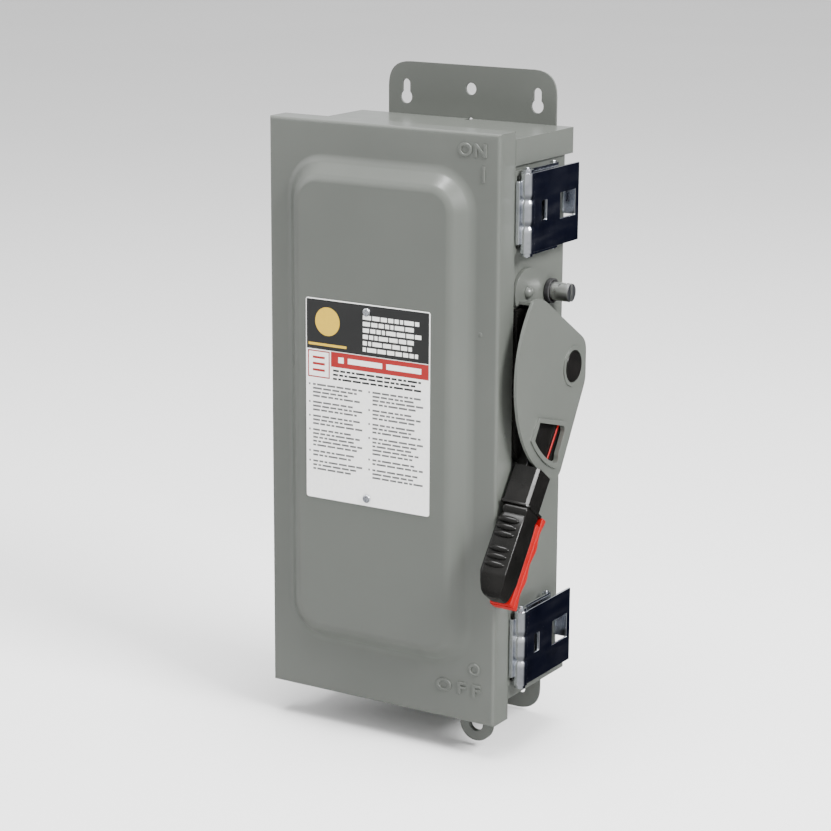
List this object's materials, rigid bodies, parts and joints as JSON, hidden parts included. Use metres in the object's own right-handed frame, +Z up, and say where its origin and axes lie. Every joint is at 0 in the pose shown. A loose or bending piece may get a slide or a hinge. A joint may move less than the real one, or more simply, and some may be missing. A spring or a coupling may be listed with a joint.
{
  "type": "ac disconnect box",
  "caption": "Wall-mounted fusible disconnect switch: sheet-steel box with hinged door, draw latches, side handle behind a guard and visible blades inside.",
  "frame": {"origin": "on the wall plane, midway between the two keyholes of the top mounting tab", "axes": "+X to the right seen from the front, +Y towards the wall, +Z up"},
  "size_m": [0.185, 0.1205, 0.4175],
  "materials": {
    "paint": "semi-gloss grey enamel",
    "zinc": "bright zinc plate",
    "black_plastic": "semi-gloss moulded",
    "red_plastic": "satin moulded",
    "rubber": "matt closed-cell",
    "label": "satin printed film",
    "moulded": "moulded insulating plastic",
    "copper": "bright copper",
    "tinned": "tin-plated aluminium",
    "fuse_body": "fibre tube",
    "clear": "clear polycarbonate"
  },
  "bodies": {
    "enclosure": {"enclosure_wrap": "paint", "top_end_cap": "paint", "bottom_end_cap": "paint", "hinge_box_leaf": "zinc", "hinge_pin": "zinc", "handle_guard": "paint", "guard_rivet_upper": "paint", "guard_rivet_lower": "paint", "arm_wall_plate": "black_plastic", "upper_latch_bracket": "zinc", "upper_latch_pivot_pin": "zinc", "lower_latch_bracket": "zinc", "lower_latch_pivot_pin": "zinc", "interlock_ring": "rubber", "line_base": "moulded", "fuse_base": "moulded", "rotor_post_left": "moulded", "rotor_post_right": "moulded", "line_jaw_1": "copper", "load_jaw_1": "copper", "line_lug_1": "tinned", "line_lug_screw_1": "tinned", "fuse_1": "fuse_body", "fuse_clip_1": "copper", "load_lug_1": "tinned", "load_lug_screw_1": "tinned", "line_jaw_2": "copper", "load_jaw_2": "copper", "line_lug_2": "tinned", "line_lug_screw_2": "tinned", "fuse_2": "fuse_body", "fuse_clip_2": "copper", "load_lug_2": "tinned", "load_lug_screw_2": "tinned", "mechanism_bracket": "zinc", "neutral_bar": "tinned", "neutral_standoff": "moulded", "ground_lug": "tinned", "line_shield": "clear"},
    "door": {"door_pan": "paint", "door_gasket": "rubber", "label_plate": "label", "label_screw_upper": "zinc", "label_screw_lower": "zinc", "hinge_door_leaf": "zinc"},
    "handle": {"handle_grip": "black_plastic", "handle_red_insert": "red_plastic", "handle_arm_stripe": "red_plastic", "hub_cap": "black_plastic", "operating_shaft": "zinc"},
    "rotor": {"rotor_crossbar": "moulded", "blade_1": "copper", "blade_2": "copper"},
    "upper_latch_link": {"upper_latch_link": "zinc", "upper_latch_front_pin": "zinc"},
    "upper_latch_lever": {"upper_latch_lever": "zinc"},
    "lower_latch_link": {"lower_latch_link": "zinc", "lower_latch_front_pin": "zinc"},
    "lower_latch_lever": {"lower_latch_lever": "zinc"},
    "interlock_stud": {"interlock_stud": "zinc"}
  },
  "joints": [
    {"name": "door_hinge", "type": "hinge", "parent": "enclosure", "child": "door", "pos_m": [-0.0869, -0.0699, -0.19], "axis": [0, 0, -1], "range_deg": [0, 120]},
    {"name": "handle_throw", "type": "hinge", "parent": "enclosure", "child": "handle", "pos_m": [0.08, -0.0197, -0.1565], "axis": [-1, 0, 0], "range_deg": [0, 85]},
    {"name": "blade_turn", "type": "hinge", "parent": "enclosure", "child": "rotor", "pos_m": [-0.014, -0.048, -0.1665], "axis": [-1, 0, 0], "range_deg": [0, 50]},
    {"name": "upper_latch_link_swing", "type": "hinge", "parent": "enclosure", "child": "upper_latch_link", "pos_m": [0.0769, -0.032, -0.0546], "axis": [0, 0, 1], "range_deg": [0, 12.5]},
    {"name": "upper_latch_lever_open", "type": "hinge", "parent": "upper_latch_link", "child": "upper_latch_lever", "pos_m": [0.079, -0.068, -0.0546], "axis": [0, 0, -1], "range_deg": [0, 100]},
    {"name": "lower_latch_link_swing", "type": "hinge", "parent": "enclosure", "child": "lower_latch_link", "pos_m": [0.0769, -0.032, -0.3275], "axis": [0, 0, 1], "range_deg": [0, 12.5]},
    {"name": "lower_latch_lever_open", "type": "hinge", "parent": "lower_latch_link", "child": "lower_latch_lever", "pos_m": [0.079, -0.068, -0.3275], "axis": [0, 0, -1], "range_deg": [0, 100]},
    {"name": "interlock_stud_turn", "type": "hinge", "parent": "enclosure", "child": "interlock_stud", "pos_m": [0.075, -0.0245, -0.1095], "axis": [1, 0, 0], "range_deg": [0, 90]}
  ],
  "couplings": [
    {"joint": "blade_turn", "follows": "handle_throw", "ratio": 0.58823},
    {"joint": "upper_latch_link_swing", "follows": "upper_latch_lever_open", "ratio": 0.12},
    {"joint": "lower_latch_link_swing", "follows": "lower_latch_lever_open", "ratio": 0.12}
  ]
}
